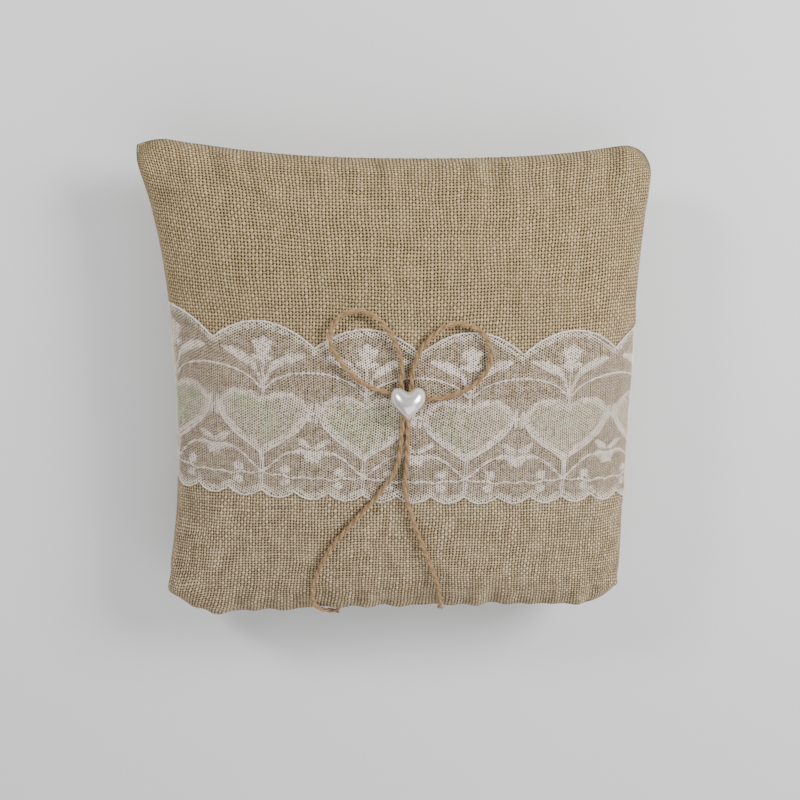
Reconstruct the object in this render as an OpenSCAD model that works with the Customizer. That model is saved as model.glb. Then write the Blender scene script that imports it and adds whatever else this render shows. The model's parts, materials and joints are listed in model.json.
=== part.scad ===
// Ring bearer pillow: a small square burlap cushion lying on its back, with a band of
// scalloped lace across its front and a bow of jute twine held by a puffed heart bead.
// Units are millimetres. +Z is up, out of the decorated front. +Y is the top edge.
// The origin is the middle of the flat underside.

/* [Cushion] */
// Side of the cushion, corner tip to corner tip
cushion_side = 200; // [180:1:220]
// How far each side pulls in at its middle
side_pull = 6.5; // [4:0.5:9]
// Height of the seam above the resting face
seam_height = 26; // [24:1:28]
// Height of the crown above the seam
crown_rise = 28; // [26:1:30]
// How far the filled back would bulge below the resting face if nothing pressed it flat
back_sink = 3; // [2:0.5:4]
// Thickness of the burlap
cover_t = 0.8; // [0.6:0.1:1]
// Width of the raw edges turned in along the seam
allowance = 8; // [6:1:10]

/* [Lining bag] */
// Thickness of the cotton lining
lining_t = 0.3; // [0.2:0.1:0.4]
// Room between the cover and the lining at the crown
lining_gap = 0.9; // [0.8:0.1:1.2]

/* [Lace band] */
// Thickness of the lace, its raised cords included
lace_t = 0.4; // [0.3:0.1:0.5]
// Height of the cusps between the large scallops, above the middle of the cushion
lace_top = 19.4; // [18:0.2:21]
// Height of the line between the small scallops, from the middle of the cushion
lace_bottom = -37.3; // [-39:0.2:-36]
// Width of one large scallop, which holds one heart
lace_repeat = 39.3; // [36:0.1:42]
// Rise of a large scallop
large_scallop = 8.5; // [6:0.5:10]
// Depth of a small scallop
small_scallop = 3; // [2:0.5:4]

/* [Bow and heart bead] */
// Diameter of the twine
twine_d = 1.5; // [1.4:0.1:1.6]
// Place of the bow across the cushion
bow_x = -1; // [-2:0.5:2]
// Place of the bow along the cushion
bow_y = 1.5; // [0:0.5:3]
// Width of the heart bead
bead_w = 13.4; // [12.5:0.1:14]
// Height of the heart bead, from its lobes to its tip
bead_h = 12.8; // [12:0.1:13.5]
// Thickness of the heart bead
bead_t = 6; // [5:0.5:7]

/* [Hidden] */

half_side = cushion_side / 2;
crown_top = seam_height + crown_rise;
back_drop = seam_height + back_sink;
pull_power = 2.5;    // how square the outline stays towards its corners
dome_power = 2.3;    // how flat the crown is
dome_root = 0.5;     // how steeply the crown falls to the seam

// Points along one side of a ring, and rings from the seam to the crown
cover_steps = 16;
cover_rings = 10;
lining_steps = 12;
lining_rings = 8;

// Each layer of the cushion: how far its outline is set in from the seam line, how high it
// starts above the seam plane, and how far it stays below the outside of the crown
edge_room = 1;       // between the turned-in edges and the lining bag
edge_wall = 0.8;     // width of the lining bag's wall along its seam
fill_room = 0.4;     // between the lining bag's seam and the filling
outside = [0, 0, 0];
cover_inside = [1.5 * cover_t, cover_t, cover_t];
bag_outside = [allowance + edge_room, 0, cover_t + lining_gap];
bag_inside = [bag_outside[0] + edge_wall, 0, bag_outside[2] + lining_t];
filling_outside = [bag_inside[0] + fill_room, 0, bag_inside[2] + lining_t];

thread_r = 0.3;
lining_thread_r = 0.2;
seam_inset = 2;
bag_seam_inset = (bag_outside[0] + bag_inside[0]) / 2;

stitch_count = 16;
stitch_pitch = 5;
stitch_r = 1.2;

lace_gap = 0.3;
lace_columns = 86;
lace_rows = 6;
// Share of the lace's columns that crowd towards the steep sides of the cushion
lace_crowding = 0.35;
// The scallops are set off from the middle of the cushion by this much
lace_shift = 3.1;
// The band was sewn on a little askew, a little curved and a little above the middle
lace_lean = 0.04;
lace_bow = 0.0002;
lace_rise = 1.1;
small_repeat = lace_repeat / 3;

twine_r = twine_d / 2;
twine_room = 0.2;    // between the lace and the twine that lies on it
// Height of the twine's centre line above the outside of the crown
twine_lift = lace_gap + lace_t + twine_room + twine_r;
knot_r = 3;
knot_t = 2.9;
knot_round = 0.8;
knot_room = 0.05;    // between the lace and the knot
knot_z = crown_top + lace_gap + lace_t + knot_room;
// Where the twine leaves the knot, from its middle, and how far apart the two tails start
strand_start = 2.35;
tail_start = [0.95, -2];
glue_t = 0.4;
glue_r = 2.15;
bead_z = knot_z + knot_t + glue_t;
// Room between a fixed twine end and the moving twine that carries on from it
hinge_gap = 0.7;

// The two stitches that hold the knot down: their spacing, their width and their bite into it
tack_spacing = 2.4;
tack_width = 2;
tack_bite = 0.6;

// Rings and steps of the bead, and how wide it is near its top beside its full size
bead_rings = 9;
bead_steps = 48;
bead_crown = 0.42;
// How far the notch between the bead's lobes is filled, as a share of its height and in degrees
notch_fill = 0.12;
notch_angle = 24;
// Middle of the bead, above the middle of the bow
bead_rise = 0.4;

// Routes of the four free ends of the bow, as points across and along the cushion
left_loop_route = [[-3.6, 9.5], [-3.2, 14], [-3.8, 19.5], [-5.7, 25], [-9, 30.5], [-13, 34.5],
    [-18, 36.8], [-23, 36.5], [-27.5, 34], [-30, 29.8], [-30, 25], [-27.8, 20], [-24.5, 15.5],
    [-21, 12], [-17, 9], [-13, 7.2], [-9.7, 6.2]];
right_loop_route = [[0.5, 9.8], [1, 14], [2.5, 19], [5.1, 24], [9, 28], [13.5, 31],
    [18.5, 31.9], [23.5, 30.8], [27.5, 28], [30, 24], [30.8, 19.5], [29.6, 14.8], [26.5, 10.5],
    [22.5, 7.5], [18, 5.2], [13, 3.8], [8, 3.4]];
left_tail_route = [[-3, -6], [-3.4, -11], [-4, -17], [-5.2, -23], [-8, -29], [-12, -34.5],
    [-16.5, -40], [-21, -45.3], [-25.5, -50.5], [-29.5, -55.5], [-32.8, -61], [-35.6, -66.8],
    [-37.8, -72.5], [-39.2, -78], [-39.5, -83], [-38.6, -87.3], [-36.2, -90.3], [-32.8, -91.8],
    [-29, -92.3]];
right_tail_route = [[-0.9, -6], [-1.1, -11], [-1.2, -17], [-1.5, -23], [-1.9, -29], [-1.8, -34.5],
    [-0.6, -40], [1, -45.5], [2.8, -51], [4.8, -56.5], [6.8, -62], [8.8, -67.5], [10.6, -73],
    [12.2, -78.3], [13.4, -83], [14, -87], [14.2, -90.2]];

// Half the cushion's width at a place t along its length, from -1 to 1
function reach(t, inset = 0) = half_side - inset - side_pull * (1 - pow(abs(t), pull_power));

// Share of the full crown at a place on the cushion
function dome(u, v) = pow((1 - pow(min(1, abs(u)), dome_power))
    * (1 - pow(min(1, abs(v)), dome_power)), dome_root);

// A point of one layer, on the front (side 1) or the back (side -1)
function layer_point(u, v, layer, side) =
    let (rise = layer[1] + (side > 0 ? crown_rise - layer[1] - layer[2]
            : back_drop - layer[1] - layer[2]) * dome(u, v))
    [u * reach(v, layer[0]), v * reach(u, layer[0]),
        side > 0 ? seam_height + rise
            : layer == outside ? seam_height - rise : max(layer[2], seam_height - rise)];

// One side of a square ring, then the whole ring, at the share q of the cushion's size
function side_steps(steps) = [for (k = [0:steps - 1]) sin(-90 + 180 * k / steps)];
function square_ring(q, steps) = [
    for (s = side_steps(steps)) [q, q * s],
    for (s = side_steps(steps)) [-q * s, q],
    for (s = side_steps(steps)) [-q, -q * s],
    for (s = side_steps(steps)) [q * s, -q]];
function layer_ring(q, steps, layer, side) =
    [for (p = square_ring(q, steps)) layer_point(p[0], p[1], layer, side)];
function raised(ring, z) = [for (p = ring) [p[0], p[1], z]];

// Rings of one layer from the crown down to the seam
function crown_rings(steps, rings, layer, side) =
    [for (k = [1:rings]) layer_ring(sin(90 * k / rings), steps, layer, side)];
function backwards(list) = [for (k = [len(list) - 1:-1:0]) list[k]];

// Closed skin over a stack of rings, with a point at each end
module skin(first, rings, last, flip) {
    count = len(rings[0]);
    rows = len(rings);
    points = [first, for (ring = rings) each ring, last];
    end = len(points) - 1;
    faces = [
        for (i = [0:count - 1]) [0, 1 + i, 1 + (i + 1) % count],
        for (r = [0:rows - 2], i = [0:count - 1])
            let (a = 1 + r * count + i, b = 1 + r * count + (i + 1) % count)
            each [[a, a + count, b], [b, a + count, b + count]],
        for (i = [0:count - 1])
            [end, 1 + (rows - 1) * count + (i + 1) % count, 1 + (rows - 1) * count + i]];
    polyhedron(points, flip ? [for (f = faces) backwards(f)] : faces, convexity = 6);
}

// Middle point of a layer
function pole(layer, side) = layer_point(0, 0, layer, side);

// One burlap panel with its seam allowance turned in along the seam plane
module cover_panel(side) {
    flange = square_ring(1, cover_steps);
    flange_low = [for (p = flange) [p[0] * reach(p[1], allowance), p[1] * reach(p[0], allowance),
        seam_height]];
    rings = concat(
        crown_rings(cover_steps, cover_rings, outside, side),
        [flange_low, raised(flange_low, seam_height + side * cover_t)],
        [for (ring = [layer_ring(1, cover_steps, cover_inside, side)])
            raised(ring, seam_height + side * cover_t)],
        backwards([for (k = [1:cover_rings - 1])
            layer_ring(sin(90 * k / cover_rings), cover_steps, cover_inside, side)]));
    skin(pole(outside, side), rings, pole(cover_inside, side), side > 0);
}

// One half of the lining bag
module lining_half(side) {
    rings = concat(
        crown_rings(lining_steps, lining_rings, bag_outside, side),
        backwards(crown_rings(lining_steps, lining_rings, bag_inside, side)));
    skin(pole(bag_outside, side), rings, pole(bag_inside, side), side > 0);
}

// Point of the outline at a place round it, set in from the seam line
function outline(inset, steps) = [for (p = square_ring(1, steps))
    [p[0] * reach(p[1], inset), p[1] * reach(p[0], inset), seam_height]];

// Ring of a tube round one route point
function unit(v) = v / norm(v);
function tube_ring(centre, along, r, sides) =
    let (across = unit(cross(along, [0, 0, 1])), up = cross(across, along))
    [for (k = [0:sides - 1]) centre + r * (cos(360 * k / sides) * across
        + sin(360 * k / sides) * up)];

// Tube that closes on itself
module closed_tube(path, r, sides) {
    count = len(path);
    points = [for (i = [0:count - 1]) each tube_ring(path[i],
        unit(path[(i + 1) % count] - path[(i + count - 1) % count]), r, sides)];
    polyhedron(points, [for (i = [0:count - 1], k = [0:sides - 1])
        let (a = i * sides + k, b = i * sides + (k + 1) % sides,
            c = ((i + 1) % count) * sides + k, d = ((i + 1) % count) * sides + (k + 1) % sides)
        each [[a, b, c], [b, d, c]]], convexity = 4);
}

// Tube with two flat ends
module open_tube(path, r, sides) {
    count = len(path);
    points = [for (i = [0:count - 1]) each tube_ring(path[i],
        unit(path[min(i + 1, count - 1)] - path[max(i - 1, 0)]), r, sides)];
    polyhedron(points, [
        [for (k = [sides - 1:-1:0]) k],
        for (i = [0:count - 2], k = [0:sides - 1])
            let (a = i * sides + k, b = i * sides + (k + 1) % sides)
            each [[a, b, a + sides], [b, b + sides, a + sides]],
        [for (k = [0:sides - 1]) (count - 1) * sides + k]], convexity = 4);
}

// Place [u, v] on the cushion under the point [x, y]
function place(x, y, u = 0, v = 0, turns = 6) =
    turns == 0 ? [u, v] : place(x, y, x / reach(v), y / reach(u), turns - 1);

// Outward direction of the front at a place, and a point lifted off the front along it
step = 0.01;
function front(u, v) = layer_point(u, v, outside, 1);
function outward(u, v) = unit(cross(
    front(min(1, u + step), v) - front(max(-1, u - step), v),
    front(u, min(1, v + step)) - front(u, max(-1, v - step))));
function lifted(u, v, d) = front(u, v) + d * outward(u, v);
function on_front(p, d) = let (q = place(p[0], p[1])) lifted(q[0], q[1], d);

// Burlap front of the cover
module front_panel() {
    color("tan") cover_panel(1);
}

// Burlap back of the cover, pressed flat where it rests
module back_panel() {
    color("tan") intersection() {
        cover_panel(-1);
        translate([-cushion_side, -cushion_side, 0])
            cube([2 * cushion_side, 2 * cushion_side, cushion_side]);
    }
}

// Thread that joins the two panels just inside the seam line
module perimeter_seam() {
    color("wheat") closed_tube(outline(seam_inset, cover_steps), thread_r, 6);
}

// Hand stitches that close the turning gap in the top edge
module closing_stitches() {
    color("wheat") for (k = [0:stitch_count - 1]) {
        x = (k - (stitch_count - 1) / 2) * stitch_pitch;
        q = place(x, half_side - side_pull);
        translate([x, reach(q[0]) - stitch_r / 2, seam_height]) rotate([0, 90, 0])
            rotate_extrude($fn = 32) translate([stitch_r, 0]) circle(thread_r, $fn = 16);
    }
}

// Front half of the cotton bag that holds the filling
module inner_bag_front() {
    color("ivory") lining_half(1);
}

// Back half of the cotton bag
module inner_bag_back() {
    color("ivory") lining_half(-1);
}

// Thread of the cotton bag
module inner_bag_seam() {
    color("white") closed_tube(outline(bag_seam_inset, lining_steps), lining_thread_r, 6);
}

// Fibre filling
module filling() {
    rings = concat(
        crown_rings(lining_steps, lining_rings, filling_outside, 1),
        backwards([for (k = [1:lining_rings - 1])
            layer_ring(sin(90 * k / lining_rings), lining_steps, filling_outside, -1)]));
    color("white") skin(pole(filling_outside, 1), rings, pole(filling_outside, -1), true);
}

// Height of a scallop, from 0 at a cusp to 1 at its crest, at a distance from the cusp.
// A small cusp lies under the middle of each large scallop.
function scallop(x, repeat) =
    let (t = 2 * (x / repeat - floor(x / repeat)) - 1) 1 - t * t;
function lace_high(x) = lace_top + large_scallop * scallop(x - lace_shift, lace_repeat);
function lace_low(x) = lace_bottom
    - small_scallop * scallop(x - lace_shift - lace_repeat / 2, small_repeat);

// Grid of one face of the lace, d above the front
function lace_grid(d) = [for (c = [0:lace_columns], r = [0:lace_rows])
    let (t = 2 * c / lace_columns - 1,
        u = lace_crowding * sin(90 * t) + (1 - lace_crowding) * t,
        x = u * (half_side - side_pull),
        y = lace_low(x) + (lace_high(x) - lace_low(x)) * r / lace_rows
            + lace_bow * x * x - lace_lean * x + lace_rise)
    lifted(u, y / reach(u), d)];

// Lace band across the front, from side seam to side seam
module lace_band() {
    rows = lace_rows + 1;
    count = (lace_columns + 1) * rows;
    points = concat(lace_grid(lace_gap), lace_grid(lace_gap + lace_t));
    border = concat(
        [for (c = [0:lace_columns]) c * rows],
        [for (r = [1:lace_rows]) lace_columns * rows + r],
        [for (c = [lace_columns - 1:-1:0]) c * rows + lace_rows],
        [for (r = [lace_rows - 1:-1:1]) r]);
    faces = [
        for (c = [0:lace_columns - 1], r = [0:lace_rows - 1])
            let (a = c * rows + r, b = a + rows)
            each [[a, b, a + 1], [b, b + 1, a + 1],
                [count + a, count + a + 1, count + b],
                [count + b, count + a + 1, count + b + 1]],
        for (i = [0:len(border) - 1])
            let (a = border[i], b = border[(i + 1) % len(border)])
            each [[a, count + a, b], [b, count + a, count + b]]];
    color("linen") polyhedron(points, faces, convexity = 6);
}

// Straight piece of twine
module twine_stub(a, b) {
    run = norm(b - a);
    translate(a) rotate([0, acos((b[2] - a[2]) / run), atan2(b[1] - a[1], b[0] - a[0])])
        cylinder(h = run, r = twine_r, $fn = 32);
}

// Fixed end of the twine, short of the place where the moving part starts
function stub_end(route) =
    let (a = on_front(route[0], twine_lift), b = on_front(route[1], twine_lift))
    a - hinge_gap * unit(b - a);

// Fixed end of one route, from a place beside the middle of the knot
module fixed_end(route, start) {
    twine_stub([bow_x, bow_y, crown_top + twine_lift] + start, stub_end(route));
}

// Place where a loop's twine leaves the knot, on the way to the first point of its route
function toward(route) = strand_start * unit([route[0][0] - bow_x, route[0][1] - bow_y, 0]);

// Knot of the bow, with the fixed ends that leave it under the bead
module bow_knot() {
    color("tan") union() {
        translate([bow_x, bow_y, knot_z]) rotate_extrude($fn = 48) polygon([[0, 0],
            [knot_r - knot_round, 0], [knot_r, knot_round], [knot_r, knot_t - knot_round],
            [knot_r - knot_round, knot_t], [0, knot_t]]);
        for (route = [left_loop_route, backwards(left_loop_route), right_loop_route,
                backwards(right_loop_route)])
            fixed_end(route, toward(route));
        fixed_end(left_tail_route, [-tail_start[0], tail_start[1], 0]);
        fixed_end(right_tail_route, [tail_start[0], tail_start[1], 0]);
    }
}

// Two stitches that hold the knot to the front panel
module bow_tack() {
    tack_depth = cover_t + lining_gap / 2;
    side = tack_width / 2;
    color("wheat") for (y = [-tack_spacing / 2, tack_spacing / 2])
        translate([bow_x, bow_y + y, crown_top - tack_depth]) {
            for (x = [-side, side]) translate([x, 0, 0])
                cylinder(h = knot_z - crown_top + tack_depth + tack_bite, r = thread_r, $fn = 16);
            translate([-side, 0, 0]) rotate([0, 90, 0])
                cylinder(h = tack_width, r = thread_r, $fn = 16);
        }
}

// Moving part of one loop or tail
module twine(route) {
    color("burlywood") open_tube([for (p = route) on_front(p, twine_lift)], twine_r, 8);
}

// Glue between the knot and the bead
module bead_glue() {
    color("white") translate([bow_x, bow_y, knot_z + knot_t])
        cylinder(h = glue_t, r = glue_r, $fn = 32);
}

// Heart outline at angle t, one unit wide and one unit high, with its notch partly filled
function heart(t) = [
    0.375 * pow(sin(t), 3) + 0.125 * sin(t),
    (13 * cos(t) - 5 * cos(2 * t) - 2 * cos(3 * t) - cos(4 * t) + 2.5) / 29
        + notch_fill * exp(-pow(min(t, 360 - t) / notch_angle, 2))];

// Puffed heart with a flat back
module heart_bead() {
    body = [for (k = [1:bead_rings])
        let (q = sin(90 * k / bead_rings), e = pow(q, 1.5))
        [for (i = [0:bead_steps - 1])
            let (t = 360 * i / bead_steps, h = heart(t), c = (1 - e) * bead_crown)
            [-q * bead_w * (e * h[0] + c * sin(t)), q * bead_h * (e * h[1] + c * cos(t)),
                bead_t * cos(90 * k / bead_rings)]]];
    color("snow") translate([bow_x, bow_y + bead_rise, bead_z])
        skin([0, 0, bead_t], body, [0, 0, 0], true);
}

front_panel();
back_panel();
perimeter_seam();
closing_stitches();
inner_bag_front();
inner_bag_back();
inner_bag_seam();
filling();
lace_band();
bow_knot();
bow_tack();
twine(left_loop_route);  // left_loop
twine(right_loop_route);  // right_loop
twine(left_tail_route);  // left_tail
twine(right_tail_route);  // right_tail
bead_glue();
heart_bead();
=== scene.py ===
"""Looks of the ring bearer pillow: a burlap cushion, a band of heart lace, and a twine bow
under a pearl heart. Lengths are in metres unless a name ends in _mm. +Z is up, +Y is the
cushion's top edge, and the origin is the middle of its flat underside."""
import json
import math

import bpy
import numpy as np
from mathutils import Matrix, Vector


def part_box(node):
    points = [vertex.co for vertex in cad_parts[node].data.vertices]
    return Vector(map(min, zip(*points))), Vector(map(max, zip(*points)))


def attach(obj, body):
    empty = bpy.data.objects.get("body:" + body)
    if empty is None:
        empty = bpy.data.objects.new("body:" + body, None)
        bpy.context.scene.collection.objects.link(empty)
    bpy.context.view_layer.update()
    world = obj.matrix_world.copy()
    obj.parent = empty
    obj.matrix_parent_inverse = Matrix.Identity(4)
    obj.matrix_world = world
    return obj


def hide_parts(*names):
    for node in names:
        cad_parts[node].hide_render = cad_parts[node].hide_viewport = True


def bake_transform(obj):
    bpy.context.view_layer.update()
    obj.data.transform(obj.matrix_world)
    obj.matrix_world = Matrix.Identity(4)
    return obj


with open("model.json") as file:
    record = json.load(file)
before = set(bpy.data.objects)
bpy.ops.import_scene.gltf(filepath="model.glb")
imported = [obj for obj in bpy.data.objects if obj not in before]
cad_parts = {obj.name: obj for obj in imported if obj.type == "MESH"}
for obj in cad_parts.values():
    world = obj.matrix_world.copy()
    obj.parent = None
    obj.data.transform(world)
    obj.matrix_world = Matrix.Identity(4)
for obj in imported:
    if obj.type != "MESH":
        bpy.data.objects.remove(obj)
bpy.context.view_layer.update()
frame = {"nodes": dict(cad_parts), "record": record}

MM = 0.001

# ---- sizes from the frame
panel_low, panel_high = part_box("front_panel")
knot_low, knot_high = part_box("bow_knot")
bead_low, bead_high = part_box("heart_bead")

SEAM_Z = panel_low.z
CROWN_Z = panel_high.z
HALF_SIDE = (panel_high.x - panel_low.x) / 2
CROWN_RISE = CROWN_Z - SEAM_Z
BACK_SINK = 3 * MM  # how far the back would bulge below the floor if unpressed
SIDE_PULL = 6.5 * MM  # how far each side pulls in at its middle
FLAT_HALF = 1.03 * HALF_SIDE  # half the sewn panel before it was filled

BEAD_WIDE = bead_high.x - bead_low.x
BEAD_HIGH = 12.8 * MM  # size of the heart formula's unit square, along the cushion
BEAD_RISE = 0.4 * MM  # the middle of that square, above the middle of the bow
BEAD_T = bead_high.z - bead_low.z
BOW = Vector(((bead_low.x + bead_high.x) / 2, 1.5 * MM, 0))
KNOT_R = 3 * MM
KNOT_RISE = 0.7 * MM  # how far its strands rise and fall as they cross
NOTCH_FILL = 0.12  # share of the bead's height by which its notch is filled
NOTCH_ANGLE = math.radians(24)

TWINE_D = 1.5 * MM
LACE_GAP = 0.35 * MM
LACE_CORD_R = 0.34 * MM

# Routes of the bow's four free ends, across and along the cushion, in millimetres
LEFT_LOOP = [(-3.6, 9.5), (-3.2, 14), (-3.8, 19.5), (-5.7, 25), (-9, 30.5), (-13, 34.5),
             (-18, 36.8), (-23, 36.5), (-27.5, 34), (-30, 29.8), (-30, 25), (-27.8, 20),
             (-24.5, 15.5), (-21, 12), (-17, 9), (-13, 7.2), (-9.7, 6.2)]
RIGHT_LOOP = [(0.5, 9.8), (1, 14), (2.5, 19), (5.1, 24), (9, 28), (13.5, 31), (18.5, 31.9),
              (23.5, 30.8), (27.5, 28), (30, 24), (30.8, 19.5), (29.6, 14.8), (26.5, 10.5),
              (22.5, 7.5), (18, 5.2), (13, 3.8), (8, 3.4)]
LEFT_TAIL = [(-3, -6), (-3.4, -11), (-4, -17), (-5.2, -23), (-8, -29), (-12, -34.5),
             (-16.5, -40), (-21, -45.3), (-25.5, -50.5), (-29.5, -55.5), (-32.8, -61),
             (-35.6, -66.8), (-37.8, -72.5), (-39.2, -78), (-39.5, -83), (-38.6, -87.3),
             (-36.2, -90.3), (-32.8, -91.8), (-29, -92.3)]
RIGHT_TAIL = [(-0.9, -6), (-1.1, -11), (-1.2, -17), (-1.5, -23), (-1.9, -29), (-1.8, -34.5),
              (-0.6, -40), (1, -45.5), (2.8, -51), (4.8, -56.5), (6.8, -62), (8.8, -67.5),
              (10.6, -73), (12.2, -78.3), (13.4, -83), (14, -87), (14.2, -90.2)]


# ---- small mesh helpers
def unit(vectors):
    """Vectors scaled to length one, along the last axis."""
    length = np.linalg.norm(vectors, axis=-1, keepdims=True)
    return vectors / np.maximum(length, 1e-12)


def add_object(name, data):
    piece = bpy.data.objects.new(name, data)
    bpy.context.scene.collection.objects.link(piece)
    return piece


def mesh_object(name, points, faces, smooth=True):
    """A mesh object in the scene, made from points and faces."""
    mesh = bpy.data.meshes.new(name)
    mesh.from_pydata([tuple(p) for p in np.asarray(points).tolist()], [], faces)
    mesh.update()
    mesh.polygons.foreach_set("use_smooth", [smooth] * len(mesh.polygons))
    return add_object(name, mesh)


def joined_object(name, meshes):
    """One mesh object made from several meshes, each of them points and faces."""
    faces, count = [], 0
    for points, own in meshes:
        faces.extend(tuple(k + count for k in face) for face in own)
        count += len(points)
    return mesh_object(name, np.vstack([points for points, _ in meshes]), faces)


def square_grid(half, count):
    """Places of a square grid with count cells a side, as one table across and one along."""
    t = np.linspace(-half, half, count + 1)
    return np.meshgrid(t, t, indexing="ij")


def give_attribute(piece, name, values):
    """Stores one value or vector for each point of a piece, for its material to read."""
    values = np.asarray(values, np.float32)
    kind, key = ("FLOAT", "value") if values.ndim == 1 else ("FLOAT_VECTOR", "vector")
    attribute = piece.data.attributes.new(name, kind, "POINT")
    attribute.data.foreach_set(key, values.ravel())


def run_along(points):
    """Distance along a line of points, at each of them."""
    return np.concatenate([[0], np.cumsum(np.linalg.norm(np.diff(points, axis=0), axis=1))])


def with_ends(points):
    """Points with one more at each end, straight on from the last two."""
    return np.concatenate([2 * points[:1] - points[1:2], points, 2 * points[-1:] - points[-2:-1]])


def between(a, b, c, d, t):
    """Catmull-Rom curve past a, b, c and d, at a share t of the way from b to c."""
    return 0.5 * (2 * b + (c - a) * t + (2 * a - 5 * b + 4 * c - d) * t ** 2
                  + (3 * b - a - 3 * c + d) * t ** 3)


def smooth_path(points, spacing):
    """Smooth curve through the points, then resampled at an even spacing."""
    padded = with_ends(np.asarray(points, float))
    t = np.linspace(0, 1, 16, endpoint=False)[:, None]
    fine = [between(*padded[k:k + 4], t) for k in range(len(points) - 1)]
    fine = np.vstack(fine + [padded[-2:-1]])
    run = run_along(fine)
    even = np.linspace(0, run[-1], max(2, int(round(run[-1] / spacing)) + 1))
    return np.stack([np.interp(even, run, column) for column in fine.T], axis=1)


def path_length(path):
    """Length of a path, as a plain number."""
    return float(run_along(path)[-1])


def path_frames(path, closed=False):
    """Direction, and two directions across it that don't twist, at each point of a path."""
    if closed:
        along = unit(np.roll(path, -1, axis=0) - np.roll(path, 1, axis=0))
    else:
        along = unit(np.gradient(path, axis=0))
    across = np.cross(along, [0, 0, 1.0])
    across = unit(np.where(np.linalg.norm(across, axis=1, keepdims=True) < 1e-6,
                           [[1.0, 0, 0]], across))
    return along, across, np.cross(across, along)


def ring_faces(rings, sides, closed=False):
    """Faces between the rings of a tube, whose points come ring by ring."""
    faces = []
    for i in range(rings if closed else rings - 1):
        a, b = i * sides, (i + 1) % rings * sides
        for k in range(sides):
            n = (k + 1) % sides
            faces.append((a + k, a + n, b + n, b + k))
    return faces


def tube_mesh(path, radius, sides, closed=False):
    """Points and faces of a tube round a path. The radius is one number or one a ring."""
    _, across, up = path_frames(path, closed)
    count = len(path)
    radius = np.broadcast_to(radius, count)[:, None, None]
    turn = (2 * np.pi * np.arange(sides) / sides)[None, :, None]
    ring = np.cos(turn) * across[:, None] + np.sin(turn) * up[:, None]
    faces = ring_faces(count, sides, closed)
    if not closed:
        faces.append(tuple(range(sides))[::-1])
        faces.append(tuple((count - 1) * sides + k for k in range(sides)))
    return (path[:, None] + radius * ring).reshape(-1, 3), faces


# ---- material helpers
class Paint:
    """Builds one node material. Inputs may be sockets, numbers or colours."""

    def __init__(self, name):
        self.material = bpy.data.materials.new(name)
        self.material.use_nodes = True
        self.tree = self.material.node_tree
        self.shader = self.tree.nodes["Principled BSDF"]

    def put(self, node, key, value):
        if isinstance(value, bpy.types.NodeSocket):
            self.tree.links.new(value, node.inputs[key])
        elif value is not None:
            node.inputs[key].default_value = value

    def node(self, kind, *values, **settings):
        """Outputs of a new node, which is given its settings and its first inputs."""
        node = self.tree.nodes.new("ShaderNode" + kind)
        for key, value in settings.items():
            setattr(node, key, value)
        for key, value in enumerate(values):
            self.put(node, key, value)
        return node.outputs

    def math(self, kind, a, b=None):
        return self.node("Math", a, b, operation=kind)[0]

    def add(self, a, b):
        return self.math("ADD", a, b)

    def sub(self, a, b):
        return self.math("SUBTRACT", a, b)

    def mul(self, a, b):
        return self.math("MULTIPLY", a, b)

    def fade(self, value, low, high, to_low=0.0, to_high=1.0):
        """Smooth change from to_low to to_high as the value goes from low to high."""
        return self.node("MapRange", value, low, high, to_low, to_high,
                         interpolation_type="SMOOTHSTEP")[0]

    def read(self, name, part="Vector"):
        return self.node("Attribute", attribute_name=name)[part]

    def object_place(self):
        return self.node("TexCoord")["Object"]

    def split(self, vector):
        return self.node("SeparateXYZ", vector)

    def join(self, x, y, z=0.0):
        return self.node("CombineXYZ", x, y, z)[0]

    def noise(self, vector, scale, detail=2.0, rough=0.5):
        return self.node("TexNoise", vector, None, scale, detail, rough)["Fac"]

    def mix(self, share, a, b):
        """A colour between two, each of which is a socket or a colour."""
        ends = [c if isinstance(c, bpy.types.NodeSocket) else (*c, 1) for c in (a, b)]
        return self.node("Mix", share, *[None] * 5, *ends, data_type="RGBA")[2]

    def bump(self, height, distance, strength=1.0):
        node = self.tree.nodes.new("ShaderNodeBump")
        for key, value in (("Height", height), ("Distance", distance), ("Strength", strength)):
            self.put(node, key, value)
        self.put(self.shader, "Normal", node.outputs[0])

    def set(self, **values):
        """Sets the shader's own inputs. Words in a name are joined by underscores."""
        for key, value in values.items():
            if isinstance(value, tuple) and len(value) == 3:
                value = (*value, 1)
            self.put(self.shader, key.replace("_", " "), value)
        return self.material


YARN_PITCH_MM = 1.24
HOLE = -1.2  # height of the gaps, where a yarn crosses over at about 1


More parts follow.
